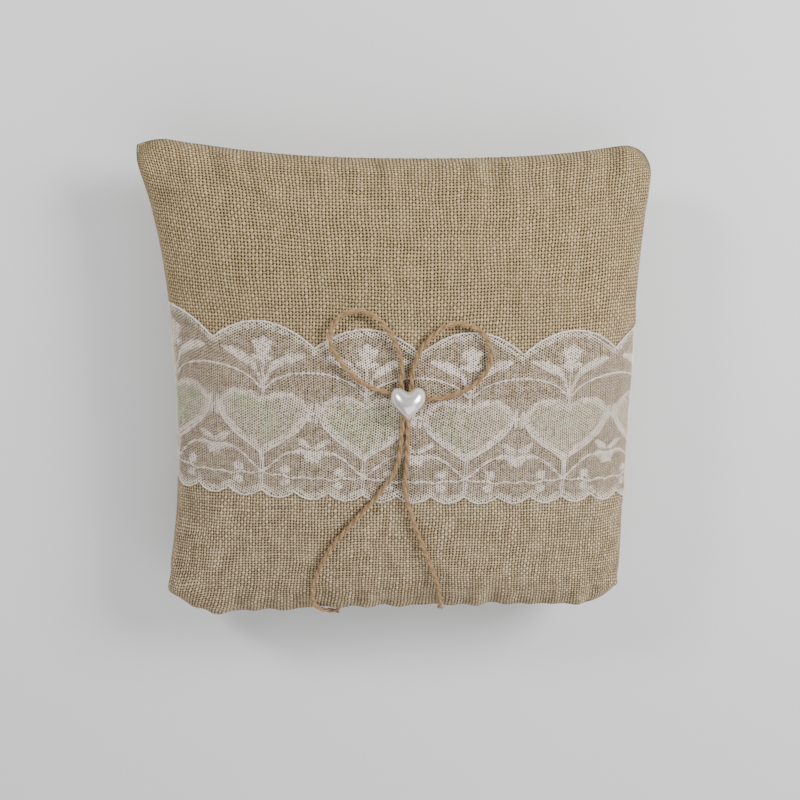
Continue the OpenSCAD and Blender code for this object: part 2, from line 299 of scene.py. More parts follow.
def burlap_material(name, age):
    """Open plain weave of slubby yarn, drawn on the cloth's own millimetre coordinates."""
    p = Paint(name)
    fabric = p.read("fabric")
    cloth = p.split(fabric)
    wander = p.noise(fabric, 0.035, 3.0)
    ripple = p.noise(fabric, 0.16, 2.0)
    across = p.add(p.mul(cloth[0], 1 / YARN_PITCH_MM), p.add(p.mul(wander, 3.0), p.mul(ripple, 0.4)))
    along = p.add(p.mul(cloth[1], 1 / YARN_PITCH_MM), p.sub(p.mul(wander, 2.6), p.mul(ripple, 0.5)))

    def yarn(position, other, sign, thin, thick):
        """Height, slub and strands of the yarns that lie side by side along position."""
        index = p.math("FLOOR", position)
        side = p.sub(p.math("FRACT", position), 0.5)
        odd = p.math("FLOORED_MODULO", index, 2.0)
        wave = p.mul(p.math("COSINE", p.mul(p.sub(other, 0.5), math.pi)),
                     p.sub(sign, p.mul(odd, 2 * sign)))
        slub = p.noise(p.join(p.mul(index, 7.31), p.mul(other, 0.11), sign), 1.0, 3.0, 0.6)
        half_width = p.fade(slub, 0.3, 0.7, thin, thick)
        inside = p.sub(1.0, p.math("POWER", p.math("DIVIDE", side, half_width), 2.0))
        top = p.add(p.mul(wave, 0.52), p.mul(p.math("MAXIMUM", inside, 0.0), 0.5))
        height = p.add(HOLE, p.mul(p.fade(inside, 0.0, 0.35), p.sub(top, HOLE)))
        strand = p.noise(p.join(p.mul(position, 9.0), p.mul(other, 1.4), sign), 1.0, 2.0)
        return height, slub, strand

    def upper(of_warp, of_weft):
        """The value that belongs to the yarn on top."""
        return p.add(p.mul(warp_on_top, of_warp), p.mul(weft_on_top, of_weft))

    warp, warp_slub, warp_strand = yarn(across, along, 1.0, 0.31, 0.43)
    weft, weft_slub, weft_strand = yarn(along, across, -1.0, 0.25, 0.36)
    height = p.math("MAXIMUM", warp, weft)
    warp_on_top = p.math("GREATER_THAN", warp, weft)
    weft_on_top = p.sub(1.0, warp_on_top)
    slub = p.fade(upper(warp_slub, weft_slub), 0.3, 0.72)
    strand = p.fade(upper(warp_strand, weft_strand), 0.35, 0.7, 0.0, 0.35)
    patch = p.fade(p.noise(fabric, 0.022, 2.0), 0.35, 0.65, 0.0, 0.35)
    # More golden and darker towards the top edge: partly the cloth's own tone, partly painted shade.
    golden_tone_and_top_shade = p.fade(cloth[1], -35.0, 60.0, 0.0, 0.55)
    colour = p.mix(slub, (0.53, 0.38, 0.20), (0.88, 0.70, 0.45))
    colour = p.mix(strand, colour, (0.28, 0.18, 0.08))
    colour = p.mix(patch, colour, (0.56, 0.44, 0.28))
    colour = p.mix(golden_tone_and_top_shade, colour, (0.52, 0.375, 0.165))
    colour = p.mix(p.mul(weft_on_top, 0.3), colour, (0.16, 0.11, 0.06))
    # Painted shade: the gaps between the yarns, their edges and where they dip under are darkened
    # towards near black.
    colour = p.mix(p.fade(height, -0.35, 0.85), (0.028, 0.016, 0.007), colour)
    # Painted shadow: the burlap under the lace is darkened halfway towards dark brown.
    colour = p.mix(p.mul(p.read("lace_shadow_mask", "Fac"), 0.5), colour, (0.04, 0.025, 0.015))
    if age:
        colour = p.mix(age, colour, (0.30, 0.24, 0.16))
    p.bump(height, 0.4 * MM)
    return p.set(Base_Color=colour, Roughness=0.9, Sheen_Weight=0.06, Sheen_Roughness=0.6,
                 Specular_IOR_Level=0.12)


def lace_material():
    """Off-white thread with a pale green shimmer where the lace is densely filled."""
    p = Paint("lace_net")
    shimmer = p.read("shimmer", "Fac")
    place = p.object_place()
    sparkle = p.noise(place, 900.0, 2.0)
    drift = p.noise(place, 60.0, 2.0)
    green = p.mul(shimmer, p.fade(p.add(p.mul(sparkle, 0.6), p.mul(drift, 0.4)), 0.45, 0.62))
    white = p.mix(p.read("dense", "Fac"), (0.92, 0.75, 0.58), (0.97, 0.83, 0.72))
    colour = p.mix(green, white, (0.79, 0.93, 0.55))
    fine = p.noise(place, 2500.0, 1.0)
    colour = p.mix(p.fade(fine, 0.35, 0.65, 0.0, 0.22), colour, (0.60, 0.52, 0.46))
    p.bump(fine, 0.08 * MM, 0.6)
    rough = p.fade(green, 0.0, 1.0, 0.62, 0.3)
    return p.set(Base_Color=colour, Roughness=rough, Sheen_Weight=0.1, Sheen_Roughness=0.5)


def mottled_material(name, scale, detail, dark, light, bump_mm, strength, **looks):
    """A material whose colour and small bumps follow one cloudy noise."""
    p = Paint(name)
    cloud = p.noise(p.object_place(), scale, detail)
    p.bump(cloud, bump_mm * MM, strength)
    return p.set(Base_Color=p.mix(p.fade(cloud, 0.3, 0.7), dark, light), **looks)


def lace_cord_material():
    """The brighter twisted outline threads of the lace."""
    return mottled_material("lace_gimp", 1800.0, 2.0, (0.55, 0.46, 0.40), (0.98, 0.88, 0.80),
                            0.1, 0.7, Roughness=0.5, Sheen_Weight=0.3, Sheen_Roughness=0.4)


def pearl_material():
    """Pearl-white lacquer with a faint cloudy lustre."""
    return mottled_material("pearl_lacquer", 260.0, 3.0, (0.95, 0.89, 0.86), (0.99, 0.94, 0.91),
                            0.02, 0.2, Roughness=0.26, Metallic=0.6, Coat_Weight=1.0,
                            Coat_Roughness=0.12, Specular_IOR_Level=0.6)


def glue_material():
    """Clear hot glue, slightly cloudy."""
    return mottled_material("clear_hot_glue", 500.0, 2.0, (0.75, 0.72, 0.65), (0.86, 0.84, 0.79),
                            0.1, 0.3, Roughness=0.25, Transmission_Weight=0.3)


def twine_material():
    """Jute: long fibres that run along each ply, light and dark."""
    p = Paint("jute_twine")
    strand = p.split(p.read("strand"))
    fibre = p.noise(p.join(p.mul(strand[0], 0.45), p.mul(strand[1], 2.6), p.mul(strand[2], 2.6)),
                    1.0, 4.0, 0.65)
    blotch = p.noise(p.join(p.mul(strand[0], 0.12), strand[1], strand[2]), 1.0, 2.0)
    colour = p.mix(p.fade(fibre, 0.3, 0.7), (0.11, 0.055, 0.023), (0.55, 0.35, 0.165))
    colour = p.mix(p.fade(blotch, 0.35, 0.7, 0.0, 0.35), colour, (0.40, 0.25, 0.12))
    p.bump(fibre, 0.14 * MM, 0.9)
    return p.set(Base_Color=colour, Roughness=0.78, Sheen_Weight=0.15, Sheen_Roughness=0.5,
                 Specular_IOR_Level=0.3)


def thread_material(name, dark, light):
    """Spun thread with a fine diagonal twist."""
    p = Paint(name)
    place = p.split(p.object_place())
    twist = p.math("SINE", p.mul(p.add(place[0], p.add(place[1], place[2])), 9000.0))
    wear = p.noise(p.object_place(), 700.0, 2.0)
    colour = p.mix(p.fade(p.add(p.mul(twist, 0.3), wear), 0.2, 0.8), dark, light)
    p.bump(twist, 0.05 * MM, 0.7)
    return p.set(Base_Color=colour, Roughness=0.75, Sheen_Weight=0.3)


def cotton_material():
    """Plain cotton sheeting of the lining bag."""
    p = Paint("cotton_lining")
    place = p.split(p.object_place())
    warp = p.math("SINE", p.mul(place[0], 9000.0))
    weft = p.math("SINE", p.mul(place[1], 9000.0))
    weave = p.mul(warp, weft)
    cloud = p.noise(p.object_place(), 40.0, 3.0)
    colour = p.mix(p.fade(p.add(p.mul(weave, 0.15), cloud), 0.3, 0.7),
                   (0.22, 0.17, 0.11), (0.34, 0.27, 0.19))
    p.bump(weave, 0.05 * MM, 0.6)
    return p.set(Base_Color=colour, Roughness=0.9, Sheen_Weight=0.2)


def fibrefill_material():
    """Loose white polyester fibre."""
    p = Paint("polyester_fibre")
    place = p.object_place()
    clump = p.noise(place, 70.0, 4.0, 0.6)
    fibre = p.noise(place, 900.0, 3.0, 0.7)
    colour = p.mix(p.fade(clump, 0.3, 0.7), (0.78, 0.78, 0.77), (0.92, 0.92, 0.91))
    p.bump(p.add(clump, p.mul(fibre, 0.3)), 1.5 * MM, 0.8)
    return p.set(Base_Color=colour, Roughness=0.85, Sheen_Weight=0.5)


# ---- camera, floor, light
LENS_MM = 48.8
SENSOR_MM = 36
CAMERA_PLACE = (-0.0211, 0.0915, 0.461)
CAMERA_TURN = (-12.3, -2.43, -0.08)  # in degrees
FLOOR_HALF = 4.0
SKY = (0.95, 0.97, 1.0, 1)
SKY_STRENGTH = 0.19
# Each soft box: its place, its size and its power, in metres and watts
SOFT_BOXES = {"left_box": ((-0.54, 0.44, 0.44), (0.17, 0.15), 3.7),
              "right_box": ((0.56, 0.32, 0.46), (0.34, 0.26), 7.0),
              "front_fill": ((0.2, -0.6, 0.75), (1.6, 1.2), 8.7)}


def make_camera():
    """Looks down on the cushion from above its top edge."""
    data = bpy.data.cameras.new("camera")
    data.lens = LENS_MM
    data.sensor_width = SENSOR_MM
    camera = add_object("camera", data)
    camera.location = CAMERA_PLACE
    camera.rotation_euler = [math.radians(angle) for angle in CAMERA_TURN]
    bpy.context.scene.camera = camera


def soft_box(name, place, size, power):
    """A rectangular light that faces the cushion."""
    data = bpy.data.lights.new(name, "AREA")
    data.shape = "RECTANGLE"
    data.size, data.size_y = size
    data.energy = power
    light = add_object(name, data)
    light.location = place
    toward = Vector((0, 0, SEAM_Z)) - light.location
    light.rotation_euler = toward.to_track_quat("-Z", "Y").to_euler()


def make_studio():
    """Pale floor, two small soft boxes past the top edge and a broad fill past the bottom one."""
    h = FLOOR_HALF
    floor = mesh_object("floor", [(-h, -h, 0), (h, -h, 0), (h, h, 0), (-h, h, 0)],
                        [(0, 1, 2, 3)], smooth=False)
    paper = Paint("floor_paper").set(Base_Color=(0.82, 0.82, 0.82), Roughness=0.9)
    floor.data.materials.append(paper)
    for name, box in SOFT_BOXES.items():
        soft_box(name, *box)
    world = bpy.data.worlds.new("studio")
    bpy.context.scene.world = world
    world.use_nodes = True
    background = world.node_tree.nodes["Background"]
    background.inputs["Color"].default_value = SKY
    background.inputs["Strength"].default_value = SKY_STRENGTH


# ---- the cushion's cloth
SIDE_CURVE = 2.5  # how square the sides' inward curves are
DOME_CURVE = 2.3  # how square the crown is
PUCKER = 0.9 * MM
PUCKER_REACH = 0.14  # how far in from the edge it goes, as a share of half a side
PUCKER_WAVES = (5, 8, 13, 17)
SEAM_PUCKER = 0.3  # its share that is left at the seam itself


def reach(t):
    """Half the cushion's width at a place t along its length, from -1 to 1."""
    return HALF_SIDE - SIDE_PULL * (1 - np.abs(t) ** SIDE_CURVE)


def dome(u, v):
    """Share of the full crown at a place on the cushion."""
    return np.sqrt((1 - np.abs(u) ** DOME_CURVE) * (1 - np.abs(v) ** DOME_CURVE))


def pucker(u, v, seed):
    """Small seeded unevenness near the edges, where the sewing gathers the cloth."""
    random = np.random.default_rng(seed)
    total = np.zeros_like(u)
    for side, run in ((1 - np.abs(u), v), (1 - np.abs(v), u)):
        wave = sum(np.sin(2 * np.pi * (waves * run / 2 + random.random()) + np.sign(u + v))
                   * random.uniform(0.4, 1.0) for waves in PUCKER_WAVES)
        total += wave * np.exp(-(side / PUCKER_REACH) ** 2)
    return total


def plump_sheets(count):
    """Front and back sheets of the filled cushion before the cloth settles."""
    u, v = square_grid(1, count)
    x, y = u * reach(v), v * reach(u)
    border = np.maximum(np.abs(u), np.abs(v)) == 1
    front = np.stack([x, y, CROWN_RISE * dome(u, v)], axis=-1)
    back = np.stack([x, y, -(SEAM_Z + BACK_SINK) * dome(u, v)], axis=-1)
    for sheet, seed in ((front, 3), (back, 4)):
        sheet[..., 2] += np.where(border, SEAM_PUCKER, 1.0) * PUCKER * pucker(u, v, seed)
    back[border] = front[border]
    return front, back


def sheet_faces(index, side):
    """Faces of a grid of point numbers, facing up for side 1 and down for side -1."""
    corners = np.stack([index[:-1, :-1], index[1:, :-1], index[1:, 1:], index[:-1, 1:]], -1)
    return corners.reshape(-1, 4)[:, ::side].tolist()


def sewn_sheets(front, back):
    """Points and faces of two sheets that share their border, and their point numbers."""
    index = np.arange(front[..., 0].size).reshape(front.shape[:2])
    inner = np.zeros_like(index, bool)
    inner[1:-1, 1:-1] = True
    back_index = index.copy()
    back_index[inner] = index.size + np.arange(inner.sum())
    points = np.vstack([front.reshape(-1, 3), back[inner]])
    return points, sheet_faces(index, 1) + sheet_faces(back_index, -1), index, back_index


BURLAP = {"quality": 8, "mass": 0.3, "air_damping": 2.0, "tension_stiffness": 40,
          "compression_stiffness": 40, "shear_stiffness": 6, "bending_model": "ANGULAR",
          "bending_stiffness": 0.02, "use_pressure": True, "uniform_pressure_force": 0.3}
SETTLE_FRAMES = 35
FLOOR_EASE = 0.8 * MM  # how gently the back turns up from the floor
CALM_CELLS = 6
CALM_PASSES = 60


def settle_cloth(front, back, count):
    """Lets two flat panels, sewn edge to edge, settle round the filling."""
    flat_x, flat_y = square_grid(FLAT_HALF, count)
    flat = np.stack([flat_x, flat_y, np.zeros_like(flat_x)], axis=-1)
    flat = sewn_sheets(flat, flat)[0]
    start, faces, index, back_index = sewn_sheets(front, back)
    cloth = mesh_object("cloth", start, faces)
    cloth.shape_key_add(name="filled")
    rest = cloth.shape_key_add(name="cut_flat")
    rest.data.foreach_set("co", flat.ravel())

    settings = cloth.modifiers.new("Cloth", "CLOTH").settings
    for key, value in BURLAP.items():
        setattr(settings, key, value)
    settings.rest_shape_key = rest
    settings.effector_weights.gravity = 0
    scene = bpy.context.scene
    for step in range(SETTLE_FRAMES):
        scene.frame_set(step + 1)
    settled = cloth.evaluated_get(bpy.context.evaluated_depsgraph_get()).to_mesh()
    moved = np.empty(len(settled.vertices) * 3)
    settled.vertices.foreach_get("co", moved)
    moved = moved.reshape(-1, 3)
    bpy.data.objects.remove(cloth)
    scene.frame_set(1)
    return moved[index], moved[back_index]


def fit_to_frame(front, back):
    """Scales the settled cloth to the frame, and presses its back flat on the floor."""
    tips = np.abs(front[[0, 0, -1, -1], [0, -1, 0, -1], :2]).mean()
    middle = (front.shape[0] - 1) // 2
    rise = front[middle, middle, 2]
    for sheet in (front, back):
        sheet[..., :2] *= HALF_SIDE / tips
        sheet[..., 2] *= CROWN_RISE / rise
    depth = back[..., 2] + SEAM_Z
    back[..., 2] = 0.5 * (depth + np.sqrt(depth ** 2 + FLOOR_EASE ** 2)) - SEAM_Z
    return push_corners(calm_corners(front)), push_corners(calm_corners(back))


def calm_corners(sheet):
    """Smooths the last few cells of each corner, where the cloth crumples as it settles."""
    for row_step in (1, -1):
        for column_step in (1, -1):
            block = sheet[::row_step, ::column_step][:CALM_CELLS + 1, :CALM_CELLS + 1]
            for _ in range(CALM_PASSES):
                block[1:-1, 1:-1] = (block[:-2, 1:-1] + block[2:, 1:-1] + block[1:-1, :-2]
                                     + block[1:-1, 2:]) / 4
                block[0, 1:-1] = (block[0, :-2] + block[0, 2:]) / 2
                block[1:-1, 0] = (block[:-2, 0] + block[2:, 0]) / 2
    return sheet


# How far each corner is pushed aside across and along the cushion, in millimetres
CORNER_PUSH = {(-1, 1): (-8.5, 5), (1, 1): (-1, 0.5), (-1, -1): (-6, 3), (1, -1): (-10, 5)}
BLUNT_FROM = 1.29 * HALF_SIDE  # distance from the middle where a corner's rounding starts
BLUNT = 6 * MM
PUSH_FALL = 4  # how fast the push fades away from its corner


def push_corners(sheet):
    """Rounds the corners and moves them aside, and leaves the middle where it is."""
    place = sheet[..., :2] / HALF_SIDE
    for corner, push in CORNER_PUSH.items():
        outward = np.array(corner) / math.sqrt(2)
        past = np.maximum(sheet[..., :2] @ outward - BLUNT_FROM, 0)
        cut = past - BLUNT * (1 - np.exp(-past / BLUNT))
        near = np.clip((1 + place * corner) / 2, 0, 1).prod(axis=-1, keepdims=True)
        sheet[..., :2] += near ** PUSH_FALL * np.array(push) * MM - cut[..., None] * outward
    return sheet


# How far each corner's unfilled tip bends down, in degrees, by its signs in x and y
CORNER_BEND = {(-1, 1): -14, (1, 1): 6, (-1, -1): 62, (1, -1): 74}
BEND_FROM = 1.17 * HALF_SIDE  # distance from the middle where the bend starts
BEND_LENGTH = 15 * MM


def bend_corners(sheet):
    """Bends the limp tips of the corners, along each diagonal."""
    for (sx, sy), angle in CORNER_BEND.items():
        outward = np.array([sx, sy]) / math.sqrt(2)
        run = sheet[..., :2] @ outward - BEND_FROM
        turn = math.radians(angle)
        radius = BEND_LENGTH / turn
        here = np.clip(run, 0, BEND_LENGTH) / radius
        past = np.maximum(run - BEND_LENGTH, 0)
        height = sheet[..., 2].copy()
        new_run = radius * np.sin(here) + past * np.cos(here) + height * np.sin(here)
        new_height = height * np.cos(here) - radius * (1 - np.cos(here)) - past * np.sin(here)
        mask = run > 0
        sheet[..., :2] += np.where(mask, new_run - run, 0)[..., None] * outward
        sheet[..., 2] = np.where(mask, new_height, height)
    return sheet


def finer(sheet, times):
    """Smooth interpolation of a grid, along both of its sides."""
    for _ in range(2):
        padded = with_ends(sheet)
        corners = [padded[k:len(padded) - 3 + k] for k in range(4)]
        rows = [between(*corners, k / times) for k in range(times)]
        mixed = np.stack(rows, axis=1).reshape(-1, *sheet.shape[1:])
        sheet = np.concatenate([mixed, sheet[-1:]]).swapaxes(0, 1)
    return sheet


def ruler(line):
    """Millimetres along a line of points, from its middle one."""
    run = run_along(line) / MM
    return run - run[len(line) // 2]


SEARCH_PASSES = 25
SEARCH_STEP = 0.8


class Surface:
    """A sheet of cloth that other pieces lie on. Places on it are in cloth millimetres, as a
    tape laid along its middle row and its middle column would measure them."""

    def __init__(self, grid):
        self.grid = grid
        du = np.gradient(grid, axis=0)
        dv = np.gradient(grid, axis=1)
        self.normals = unit(np.cross(du, dv))
        self.count = grid.shape[0] - 1
        self.ruler_x = ruler(grid[:, self.count // 2])
        self.ruler_y = ruler(grid[self.count // 2])

    def sample(self, table, fx, fy):
        """Bilinear reading of a table at cloth places."""
        steps = np.arange(self.count + 1)
        i = np.clip(np.interp(fx, self.ruler_x, steps), 0, self.count - 1e-6)
        j = np.clip(np.interp(fy, self.ruler_y, steps), 0, self.count - 1e-6)
        a, b = i.astype(int), j.astype(int)
        s, t = (i - a)[..., None], (j - b)[..., None]
        return ((1 - s) * (1 - t) * table[a, b] + s * (1 - t) * table[a + 1, b]
                + (1 - s) * t * table[a, b + 1] + s * t * table[a + 1, b + 1])

    def lift(self, fx, fy, height):
        """Points a given height off the cloth."""
        height = np.broadcast_to(height, np.shape(fx))[..., None]
        return self.sample(self.grid, fx, fy) + height * unit(self.sample(self.normals, fx, fy))

    def under(self, xy_mm):
        """Cloth places under points that are given across and along the cushion."""
        target = np.asarray(xy_mm, float)
        place = target.copy()
        for _ in range(SEARCH_PASSES):
            found = self.sample(self.grid, place[:, 0], place[:, 1])[:, :2] / MM
            place += SEARCH_STEP * (target - found)
        return place


def edge_order(count):
    """Grid places round the border of a sheet, anticlockwise from above, once round."""
    k = range(count)
    return ([(i, 0) for i in k] + [(count, i) for i in k]
            + [(count - i, count) for i in k] + [(0, count - i) for i in k])


EDGE_LIP = 0.32 * MM  # how far a panel's sewn edge stands off the middle of the seam
# The rows of points rolled in past that edge: how far in each lies, how far it stands off
# the middle of the seam, and how far out it is on the flat cloth, in millimetres
EDGE_ROLL = [(0.7, 0.12, 0.8), (2.2, 0.1, 2.4)]


def cloth_panel(name, cloth, side):
    """One burlap panel with its edge rolled in at the seam, as a single skin."""
    grid, count = cloth.grid.copy(), cloth.count
    flat = np.stack(np.meshgrid(cloth.ruler_x, cloth.ruler_y, indexing="ij"), -1)
    rim = np.array(edge_order(count))
    rows, columns = rim.T
    edge = grid[rows, columns]
    along = unit(np.roll(edge, -1, axis=0) - np.roll(edge, 1, axis=0))
    inward = unit(np.cross([0, 0, 1.0], along))
    outward = (rim == count).astype(float) - (rim == 0)
    grid[rows, columns, 2] += side * EDGE_LIP
    points, places = [grid.reshape(-1, 3)], [flat.reshape(-1, 2)]
    for inset, height, past in EDGE_ROLL:
        points.append(edge + inward * inset * MM + [0, 0, side * height * MM])
        places.append(flat[rows, columns] + outward * past)
    points, places = np.vstack(points), np.vstack(places)
    inner = (count + 1) ** 2
    index = np.arange(inner).reshape(count + 1, count + 1)
    rolled = np.arange(inner, len(points)).reshape(-1, len(rim))
    rings = np.column_stack([index[rows, columns], *rolled])
    after = np.roll(rings, -1, axis=0)
    around = np.stack([after[:, :-1], rings[:, :-1], rings[:, 1:], after[:, 1:]], -1)
    faces = sheet_faces(index, side) + around.reshape(-1, 4)[:, ::side].tolist()
    panel = mesh_object(name, points, faces)
    give_attribute(panel, "fabric", np.column_stack([places, np.zeros(len(places))]))
    # Only the front panel marks where its material paints the lace's shadow.
    if side == 1:
        give_attribute(panel, "lace_shadow_mask", lace_shadow_mask(places))
    return panel, edge, inward


# ---- the lace
# Places on the lace are in cloth millimetres, across and along the flat front panel
LACE_REPEAT = 40.0  # width of one large scallop, which holds one heart
LACE_SHIFT = 3.1  # place of one cusp between two large scallops
LACE_TOP = 19.4  # height of the cusps between the large scallops
LACE_BOTTOM = -37.3  # height of the cusps between the small scallops
LACE_LEAN = 0.04  # the band was sewn on a little askew
LACE_BOW = 0.0002  # and a little curved, in millimetres for a squared millimetre
LACE_RISE = 1.1
LARGE_SCALLOP = 8.5
SMALL_SCALLOP = 3.0
LACE_HALF = 102.6  # half the length of the band, into both side seams
TOP_BAND = 2.6  # width of the closely netted band under the large scallops
BOTTOM_BAND = 2.8
TOP_GLOW = 0.45  # shimmer of that band, beside 1 inside the hearts
BOTTOM_GLOW = 0.3
HEART_BAND = 2.3  # width of the dense border inside each heart
JAG = 0.5  # how far that border's inner edge wanders
JAG_WAVE = 2.4
FILL_EDGE = 0.5  # width over which a filled line fades into the net
NET_PITCH = 1.05
NET_ROW = NET_PITCH * math.sqrt(3) / 2
NET_COVER = 0.23  # share of the plain net that is thread
BAND_COVER = 0.46
HEART_COVER = 0.37
BORDER_COVER = 0.58
DENSE_COVER = 0.63
NET_JITTER = 0.06
NET_UNEVEN = 0.85  # how much the holes differ, as a share of cover * (1 - cover)
NET_RIDGE = 0.06 * MM  # how far the thread's middle stands above its edge
CELL_CORNERS = [(2, 0), (1, 1), (-1, 1), (-2, 0), (-1, -1), (1, -1)]
LACE_STITCH = 1.15  # length of a stitch of the outline threads
STITCH_SWELL = 0.45  # how much thicker an outline thread is in mid stitch
CORD_JITTER = 0.1
TOP_CORD = 1.15  # radius of the cord along the top edge, beside LACE_CORD_R
BOTTOM_CORD = 0.8

# Lines of the pattern, for the right half of one repeat, from the middle of its heart
HEART = [(0, -0.8), (3.4, 1.0), (8.6, 2.0), (13, 1.0), (16.6, -1.8), (18, -5.4), (16.8, -9.4),
         (13, -13.8), (8.5, -17.2), (3.4, -20.6), (0, -23.2)]
HIGH_ARC = [(0.8, 2.6), (4.6, 6.2), (9.2, 8.4), (13.4, 9.5), (17, 10), (20, 10.1)]
STEM = [(0, -0.2), (0.4, 4.5), (2.2, 8.6), (4.5, 11.6)]
LEAF = [(2.4, 9.8), (5, 12.2), (9, 14.4), (12.5, 15.7), (16.4, 16.4)]
BUD_STALK = [(0, 2), (0, 8), (0, 13)]
BUD = [(0, 15.4), (0, 20.4)]
BUD_CUP = [(0, 13.8), (3.6, 14.6)]
PETAL = [(1.4, 17.5), (2.8, 20)]
LINK_SIDE = [(18.6, -2.4), (18.7, -8.6)]
LINK_BAR = [(18.4, -5.5), (20, -5.5)]
GARLAND = [(13.4, -15.8), (16.8, -18), (20, -19.6)]
ARC_LEAF = [(11.8, -21.4), (15, -20.9), (18.4, -21.6)]
FLOWER = [(19, -22.9), (20, -22.9)]
LOW_ARC = [(19, -20.9), (15, -20.7), (11.1, -21.5), (8, -23.2), (5.2, -25.6), (2.4, -28.2),
           (0.2, -29.8)]
TIP_LINE = [(0.5, -22.8), (0.5, -26), (0.5, -30), (0.5, -34), (0.2, -37.2)]
WAVE = [(0, -29.8), (3.6, -31.2), (8, -30.9), (12.4, -32), (16.4, -31.2), (20, -31.9)]
SMALL_FLOWER = [(9.2, -28.6), (9.8, -28.6)]
LOW_FLOWER = [(9.2, -34), (9.8, -34)]

# The filled lines of the pattern, each with half its width. The leaves taper to their ends.
FILLED = [(HIGH_ARC, 0.3), (STEM, 0.6), (BUD_STALK, 0.5), (BUD, 1.9), (BUD_CUP, 1.0),
          (PETAL, 1.3), (LINK_SIDE, 0.8), (LINK_BAR, 0.6), (FLOWER, 2.2), (LOW_ARC, 0.35),
          (TIP_LINE, 0.25), (WAVE, 0.3), (SMALL_FLOWER, 1.8), (LOW_FLOWER, 1.7)]
LEAVES = [(LEAF, 1.7), (GARLAND, 1.2), (ARC_LEAF, 1.1)]
# Each raised outline thread: its route, and its radius beside the thickest one
OUTLINED = [(HEART[5:], 0.55), (HIGH_ARC, 0.6), (LOW_ARC, 0.42), (TIP_LINE, 0.5), (WAVE, 0.55)]


def scallop(x, repeat, shift):
    """Height of a scallop, from 0 at its cusps to 1 at its crest."""
    return 1 - (2 * ((x - shift) / repeat % 1) - 1) ** 2


def lace_high(x):
    return LACE_TOP + LARGE_SCALLOP * scallop(x, LACE_REPEAT, LACE_SHIFT)


def lace_low(x):
    """Small cusps lie under the middle of each heart."""
    shift = LACE_SHIFT + LACE_REPEAT / 2
    return LACE_BOTTOM - SMALL_SCALLOP * scallop(x, LACE_REPEAT / 3, shift)


def lace_rise(x):
    """How far the band is moved up the cloth at a place along it."""
    return LACE_BOW * x ** 2 - LACE_LEAN * x + LACE_RISE


def lace_to_cloth(places):
    """Places on the front panel that lie under places on the straight band."""
    x, y = places[:, 0], places[:, 1]
    return np.column_stack([np.clip(x + LACE_LEAN * y, -LACE_HALF, LACE_HALF), y + lace_rise(x)])


def lace_shadow_mask(places):
    """Whether each place on the front panel lies under the lace, as 1 or 0: where the burlap gets a
    painted shadow of the lace.
    """
    x = places[:, 0] - LACE_LEAN * places[:, 1]
    y = places[:, 1] - lace_rise(x)
    return ((y < lace_high(x)) & (y > lace_low(x))).astype(float)


def on_cloth(cloth, places, height):
    """Points a given height above the cloth, for places on the straight band."""
    under = lace_to_cloth(places)
    return cloth.lift(under[:, 0], under[:, 1], height)


def near_line(places, line):
    """Distance from each place to a line, and the share of the line where it is nearest."""
    line = np.asarray(line, float)
    steps = np.linalg.norm(np.diff(line, axis=0), axis=1)
    starts = run_along(line)
    nearest = np.full(len(places), np.inf)
    share = np.zeros(len(places))
    for k, (a, b) in enumerate(zip(line[:-1], line[1:])):
        t = np.clip((places - a) @ (b - a) / steps[k] ** 2, 0, 1)
        distance = np.linalg.norm(places - a - t[:, None] * (b - a), axis=1)
        closer = distance < nearest
        nearest = np.where(closer, distance, nearest)
        share = np.where(closer, (starts[k] + t * steps[k]) / starts[-1], share)
    return nearest, share


def in_heart(places, half_line):
    """Whether each place is inside the heart, whose right half is given from notch to tip."""
    inside = np.zeros(len(places), bool)
    for (x0, y0), (x1, y1) in zip(half_line[:-1], half_line[1:]):
        crossed = (y0 > places[:, 1]) != (y1 > places[:, 1])
        share = (places[:, 1] - y0) / (y1 - y0 if y1 != y0 else 1)
        inside ^= crossed & (places[:, 0] < x0 + share * (x1 - x0))
    return inside


def lace_pattern(places):
    """Share of thread, and strength of the shimmer, at places on the lace."""
    across = (places[:, 0] - LACE_SHIFT) % LACE_REPEAT - LACE_REPEAT / 2
    half = np.column_stack([np.abs(across), places[:, 1]])
    cover = np.full(len(places), NET_COVER)
    shimmer = np.zeros(len(places))
    below_top = lace_high(places[:, 0]) - places[:, 1]
    above_bottom = places[:, 1] - lace_low(places[:, 0])
    for in_band, glow in ((below_top < TOP_BAND, TOP_GLOW),
                          (above_bottom < BOTTOM_BAND, BOTTOM_GLOW)):
        cover = np.where(in_band, BAND_COVER, cover)
        shimmer = np.where(in_band, glow, shimmer)
    heart_line = smooth_path(HEART, 0.8)
    inside = in_heart(half, heart_line)
    jagged = JAG * np.sin(JAG_WAVE * half[:, 0]) * np.sin(JAG_WAVE * half[:, 1])
    border = near_line(half, heart_line)[0] < HEART_BAND + jagged
    cover = np.where(inside, np.where(border, BORDER_COVER, HEART_COVER), cover)
    shimmer = np.where(inside & ~border, 1.0, shimmer)
    for line, width in FILLED + LEAVES:
        distance, share = near_line(half, line)
        if (line, width) in LEAVES:
            width = width * np.sqrt(np.sin(np.pi * np.clip(share, 0.02, 0.98)))
        fill = np.clip(0.5 + (width - distance) / FILL_EDGE, 0, 1)
        cover = np.maximum(cover, fill * DENSE_COVER)
    return cover, shimmer


